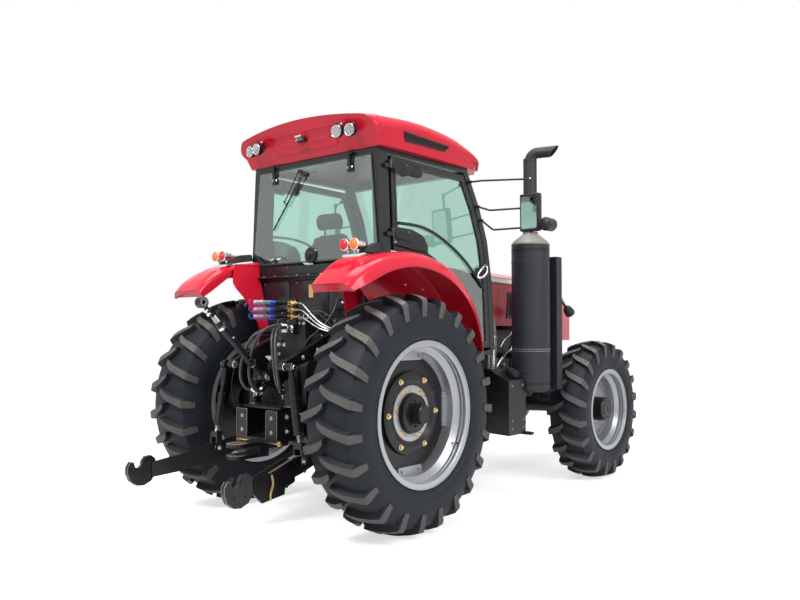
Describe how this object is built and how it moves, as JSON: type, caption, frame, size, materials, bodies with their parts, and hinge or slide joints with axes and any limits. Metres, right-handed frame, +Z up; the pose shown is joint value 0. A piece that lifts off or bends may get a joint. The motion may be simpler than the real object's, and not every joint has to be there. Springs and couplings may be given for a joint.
{
  "type": "farm tractor",
  "caption": "Four-wheel-drive farm tractor with a glazed cab, steered front axle, opening hood and doors, stack exhaust and rear three-point linkage.",
  "frame": {"origin": "centre of the bounding box's floor, on the ground", "axes": "+Z up, -Y towards the nose, +X towards the tractor's left"},
  "size_m": [2.6838, 5.088, 3.0298],
  "materials": {
    "tyre": "matte rubber",
    "rim_silver": "satin",
    "black_paint": "semi-gloss",
    "cast_iron": "painted casting",
    "red_paint": "gloss",
    "roof_red": "gloss",
    "black_plastic": "moulded",
    "glass": "tinted",
    "seat_fabric": "woven",
    "lamp": "clear lens in a black case",
    "steel": "bright"
  },
  "bodies": {
    "chassis": {"cab_floor": "black_paint", "cab_frame": "black_paint", "cab_roof": "roof_red", "dashboard": "black_plastic", "engine": "black_paint", "exhaust_canister": "black_paint", "exhaust_pipe": "black_paint", "fender_left": "red_paint", "fender_right": "red_paint", "front_axle": "black_paint", "front_frame": "black_paint", "front_weights": "cast_iron", "fuel_tank": "black_plastic", "hitch_bracket": "black_paint", "lamps": "lamp", "lift_cylinders": "black_paint", "link_pins": "steel", "mirrors": "black_plastic", "remote_couplers": "black_plastic", "seat": "seat_fabric", "seat_base": "black_plastic", "side_tank": "black_plastic", "transmission": "black_paint", "windscreen": "glass"},
    "wheel_rear_left": {"tyre_rear_left": "tyre", "rim_rear_left": "rim_silver", "hub_rear_left": "black_paint"},
    "wheel_rear_right": {"tyre_rear_right": "tyre", "rim_rear_right": "rim_silver", "hub_rear_right": "black_paint"},
    "wheel_front_left": {"tyre_front_left": "tyre", "rim_front_left": "rim_silver", "hub_front_left": "black_paint"},
    "wheel_front_right": {"tyre_front_right": "tyre", "rim_front_right": "rim_silver", "hub_front_right": "black_paint"},
    "steering_left": {"knuckle_left": "black_paint"},
    "steering_right": {"knuckle_right": "black_paint"},
    "tie_rod_body": {"tie_rod": "black_paint"},
    "door_left_body": {"door_left": "black_plastic", "door_glass_left": "glass"},
    "door_right_body": {"door_right": "black_plastic", "door_glass_right": "glass"},
    "rear_window_body": {"rear_window": "glass", "window_hinges": "black_paint"},
    "hood_body": {"hood": "red_paint", "grille": "black_plastic", "headlamps": "lamp"},
    "steering_wheel_body": {"steering_wheel": "black_plastic"},
    "lower_links_body": {"lower_links": "black_paint"},
    "lift_arms_body": {"lift_arms": "black_paint"},
    "lift_rods_body": {"lift_rods": "black_paint"},
    "top_link_body": {"top_link": "black_paint"}
  },
  "joints": [
    {"name": "wheel_rear_left_spin", "type": "hinge", "parent": "chassis", "child": "wheel_rear_left", "pos_m": [0.865, 1.24, 0.835], "axis": [1, 0, 0], "continuous": true},
    {"name": "wheel_rear_right_spin", "type": "hinge", "parent": "chassis", "child": "wheel_rear_right", "pos_m": [-0.865, 1.24, 0.835], "axis": [1, 0, 0], "continuous": true},
    {"name": "steer_left", "type": "hinge", "parent": "chassis", "child": "steering_left", "pos_m": [0.69, -1.53, 0.65], "axis": [0, 0, 1], "range_deg": [-40, 40]},
    {"name": "steer_right", "type": "hinge", "parent": "chassis", "child": "steering_right", "pos_m": [-0.69, -1.53, 0.65], "axis": [0, 0, 1], "range_deg": [-40, 40]},
    {"name": "tie_rod_swing", "type": "hinge", "parent": "steering_left", "child": "tie_rod_body", "pos_m": [0.69, -1.38, 0.801], "axis": [0, 0, 1], "range_deg": [-41, 41]},
    {"name": "wheel_front_left_spin", "type": "hinge", "parent": "steering_left", "child": "wheel_front_left", "pos_m": [0.93, -1.53, 0.65], "axis": [1, 0, 0], "continuous": true},
    {"name": "wheel_front_right_spin", "type": "hinge", "parent": "steering_right", "child": "wheel_front_right", "pos_m": [-0.93, -1.53, 0.65], "axis": [1, 0, 0], "continuous": true},
    {"name": "door_left_hinge", "type": "hinge", "parent": "chassis", "child": "door_left_body", "pos_m": [0.7172, 1.2, 2.2], "axis": [-0.0454, 0, 0.999], "range_deg": [0, 70]},
    {"name": "door_right_hinge", "type": "hinge", "parent": "chassis", "child": "door_right_body", "pos_m": [-0.7172, 1.2, 2.2], "axis": [-0.0454, 0, -0.999], "range_deg": [0, 70]},
    {"name": "rear_window_hinge", "type": "hinge", "parent": "chassis", "child": "rear_window_body", "pos_m": [0, 1.342, 2.713], "axis": [1, 0, 0], "range_deg": [0, 35]},
    {"name": "hood_hinge", "type": "hinge", "parent": "chassis", "child": "hood_body", "pos_m": [0, -0.21, 1.926], "axis": [-1, 0, 0], "range_deg": [0, 45]},
    {"name": "steering_wheel_spin", "type": "hinge", "parent": "chassis", "child": "steering_wheel_body", "pos_m": [0, 0.237, 1.986], "axis": [0, 0.5258, 0.8506], "continuous": true},
    {"name": "lower_links_lift", "type": "hinge", "parent": "chassis", "child": "lower_links_body", "pos_m": [0, 1.36, 0.62], "axis": [1, 0, 0], "range_deg": [-10, 26]},
    {"name": "lift_arms_swing", "type": "hinge", "parent": "chassis", "child": "lift_arms_body", "pos_m": [0, 1.405, 1.32], "axis": [1, 0, 0], "range_deg": [-11.5, 29]},
    {"name": "lift_rods_swing", "type": "hinge", "parent": "lift_arms_body", "child": "lift_rods_body", "pos_m": [0, 1.848, 1.159], "axis": [1, 0, 0], "range_deg": [-33, 13]},
    {"name": "top_link_swing", "type": "hinge", "parent": "chassis", "child": "top_link_body", "pos_m": [0, 1.803, 1.08], "axis": [1, 0, 0], "range_deg": [-60, 8]}
  ],
  "couplings": [
    {"joint": "steer_right", "follows": "steer_left", "ratio": 1},
    {"joint": "tie_rod_swing", "follows": "steer_left", "ratio": -1},
    {"joint": "lift_arms_swing", "follows": "lower_links_lift", "ratio": 1.079},
    {"joint": "lift_rods_swing", "follows": "lower_links_lift", "ratio": -1.2302}
  ]
}
